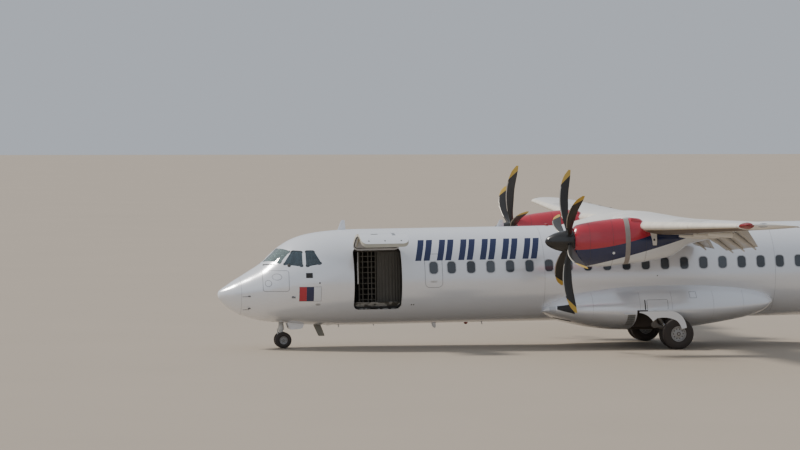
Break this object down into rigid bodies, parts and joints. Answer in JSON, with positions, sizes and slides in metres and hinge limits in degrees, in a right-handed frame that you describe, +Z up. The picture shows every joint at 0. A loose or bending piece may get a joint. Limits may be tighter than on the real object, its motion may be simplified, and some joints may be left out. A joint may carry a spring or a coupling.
{
  "type": "turboprop airliner",
  "caption": "High-wing regional airliner with two turboprop engines and a T-tail, parked on its gear with its front cargo door open.",
  "frame": {"origin": "on the ground under the middle of the aircraft's box, as it stands parked 0.8 degrees nose-down", "axes": "+X aft along the aircraft, +Y to starboard, +Z up from the ground"},
  "size_m": [27.1494, 27.05, 7.6485],
  "materials": {
    "white_paint": "gloss",
    "white_composite": "gloss",
    "engine_cowl": "gloss",
    "tail_colour": "gloss",
    "black_composite": "satin",
    "grey_aerial": "matte",
    "engine_metal": "satin",
    "gear_metal": "satin",
    "wheel_metal": "satin",
    "tyre_rubber": "matte",
    "window_glass": "polished",
    "deck_trim": "matte",
    "seat_cover": "matte"
  },
  "bodies": {
    "airframe": {"radome": "white_composite", "pane_front_left": "window_glass", "pane_front_right": "window_glass", "pane_side_left": "window_glass", "pane_side_right": "window_glass", "pane_rear_left": "window_glass", "pane_rear_right": "window_glass", "nose_shell": "white_paint", "instrument_panel": "deck_trim", "pilot_seat_left": "seat_cover", "pilot_seat_right": "seat_cover", "forward_fuselage": "white_paint", "mid_fuselage": "white_paint", "rear_fuselage": "white_paint", "tail_cone": "white_composite", "wing_centre": "white_paint", "wing_fairing": "white_composite", "wing_outer_left": "white_composite", "wing_outer_right": "white_composite", "nacelle_left": "engine_cowl", "nacelle_right": "engine_cowl", "engine_left": "engine_metal", "engine_right": "engine_metal", "gear_fairing": "white_composite", "main_leg_left": "gear_metal", "main_leg_right": "gear_metal", "fender_left": "white_composite", "fender_right": "white_composite", "nose_leg": "gear_metal", "nose_gear_door_left": "white_composite", "nose_gear_door_right": "white_composite", "fin": "tail_colour", "tailplane": "tail_colour", "antenna_top": "white_composite", "antenna_belly": "grey_aerial"},
    "propeller_left": {"propeller_left": "black_composite", "spinner_left": "black_composite"},
    "propeller_right": {"propeller_right": "black_composite", "spinner_right": "black_composite"},
    "main_wheels_left": {"main_wheels_left": "wheel_metal", "main_tyre_left_left": "tyre_rubber", "main_tyre_left_right": "tyre_rubber"},
    "main_wheels_right": {"main_wheels_right": "wheel_metal", "main_tyre_right_left": "tyre_rubber", "main_tyre_right_right": "tyre_rubber"},
    "nose_strut": {"nose_strut": "gear_metal"},
    "nose_wheels": {"nose_wheels": "wheel_metal", "nose_tyre_left": "tyre_rubber", "nose_tyre_right": "tyre_rubber"},
    "cargo_door": {"cargo_door": "white_paint"},
    "airstair_door": {"airstair_door": "white_paint"},
    "rudder": {"rudder": "tail_colour"},
    "elevator_left": {"elevator_left": "tail_colour"},
    "elevator_right": {"elevator_right": "tail_colour"},
    "aileron_left": {"aileron_left": "white_composite"},
    "aileron_right": {"aileron_right": "white_composite"},
    "flap_inner_left": {"flap_inner_left": "white_composite"},
    "flap_inner_right": {"flap_inner_right": "white_composite"},
    "flap_outer_left": {"flap_outer_left": "white_composite"},
    "flap_outer_right": {"flap_outer_right": "white_composite"}
  },
  "joints": [
    {"name": "propeller_left_spin", "type": "hinge", "parent": "airframe", "child": "propeller_left", "pos_m": [-4.45616, -4.05, 3.0813], "axis": [0.9999, 0, 0.0141], "continuous": true},
    {"name": "propeller_right_spin", "type": "hinge", "parent": "airframe", "child": "propeller_right", "pos_m": [-4.45616, 4.05, 3.0813], "axis": [0.9999, 0, 0.0141], "continuous": true},
    {"name": "main_wheels_left_spin", "type": "hinge", "parent": "airframe", "child": "main_wheels_left", "pos_m": [-0.98347, -2.05, 0.432], "axis": [0, 1, 0], "continuous": true},
    {"name": "main_wheels_right_spin", "type": "hinge", "parent": "airframe", "child": "main_wheels_right", "pos_m": [-0.98347, 2.05, 0.432], "axis": [0, 1, 0], "continuous": true},
    {"name": "nose_steering", "type": "hinge", "parent": "airframe", "child": "nose_strut", "pos_m": [-11.79617, 0, 0.54756], "axis": [-0.0141, 0, 0.9999], "range_deg": [-60, 60]},
    {"name": "nose_wheels_spin", "type": "hinge", "parent": "nose_strut", "child": "nose_wheels", "pos_m": [-11.75162, 0, 0.22502], "axis": [0, 1, 0], "continuous": true},
    {"name": "cargo_door_hinge", "type": "hinge", "parent": "airframe", "child": "cargo_door", "pos_m": [-9.28815, -1.06378, 2.83315], "axis": [0.9999, 0, 0.0141], "range_deg": [0, 93]},
    {"name": "airstair_door_hinge", "type": "hinge", "parent": "airframe", "child": "airstair_door", "pos_m": [6.79852, -0.81683, 1.40982], "axis": [0.9999, 0, 0.0141], "range_deg": [0, 120]},
    {"name": "rudder_hinge", "type": "hinge", "parent": "airframe", "child": "rudder", "pos_m": [11.12679, 0, 3.33604], "axis": [0.3296, 0, 0.9441], "range_deg": [-27, 27]},
    {"name": "elevator_left_hinge", "type": "hinge", "parent": "airframe", "child": "elevator_left", "pos_m": [12.38471, -0.2, 6.88913], "axis": [-0.0643, 0.9979, -0.0009], "range_deg": [-23, 13]},
    {"name": "elevator_right_hinge", "type": "hinge", "parent": "airframe", "child": "elevator_right", "pos_m": [12.38471, 0.2, 6.88913], "axis": [0.0643, 0.9979, 0.0009], "range_deg": [-23, 13]},
    {"name": "aileron_left_hinge", "type": "hinge", "parent": "airframe", "child": "aileron_left", "pos_m": [-0.79314, -9.08, 3.61302], "axis": [0.0235, 0.9992, -0.0324], "range_deg": [-14, 14]},
    {"name": "aileron_right_hinge", "type": "hinge", "parent": "airframe", "child": "aileron_right", "pos_m": [-0.79314, 9.08, 3.61302], "axis": [-0.0235, 0.9992, 0.0324], "range_deg": [-14, 14]},
    {"name": "flap_inner_left_hinge", "type": "hinge", "parent": "airframe", "child": "flap_inner_left", "pos_m": [-0.84555, -1.25, 3.50275], "axis": [-0.0001, 1, 0.0062], "range_deg": [-45, 0]},
    {"name": "flap_inner_right_hinge", "type": "hinge", "parent": "airframe", "child": "flap_inner_right", "pos_m": [-0.84555, 1.25, 3.50275], "axis": [0.0001, 1, -0.0062], "range_deg": [-45, 0]},
    {"name": "flap_outer_left_hinge", "type": "hinge", "parent": "airframe", "child": "flap_outer_left", "pos_m": [-0.84627, -4.86, 3.48249], "axis": [0.0172, 0.9993, -0.0321], "range_deg": [-45, 0]},
    {"name": "flap_outer_right_hinge", "type": "hinge", "parent": "airframe", "child": "flap_outer_right", "pos_m": [-0.84627, 4.86, 3.48249], "axis": [-0.0172, 0.9993, 0.0321], "range_deg": [-45, 0]}
  ],
  "couplings": [
    {"joint": "elevator_right_hinge", "follows": "elevator_left_hinge", "ratio": 1},
    {"joint": "aileron_right_hinge", "follows": "aileron_left_hinge", "ratio": -1},
    {"joint": "flap_inner_right_hinge", "follows": "flap_inner_left_hinge", "ratio": 1},
    {"joint": "flap_outer_left_hinge", "follows": "flap_inner_left_hinge", "ratio": 1},
    {"joint": "flap_outer_right_hinge", "follows": "flap_inner_left_hinge", "ratio": 1}
  ]
}
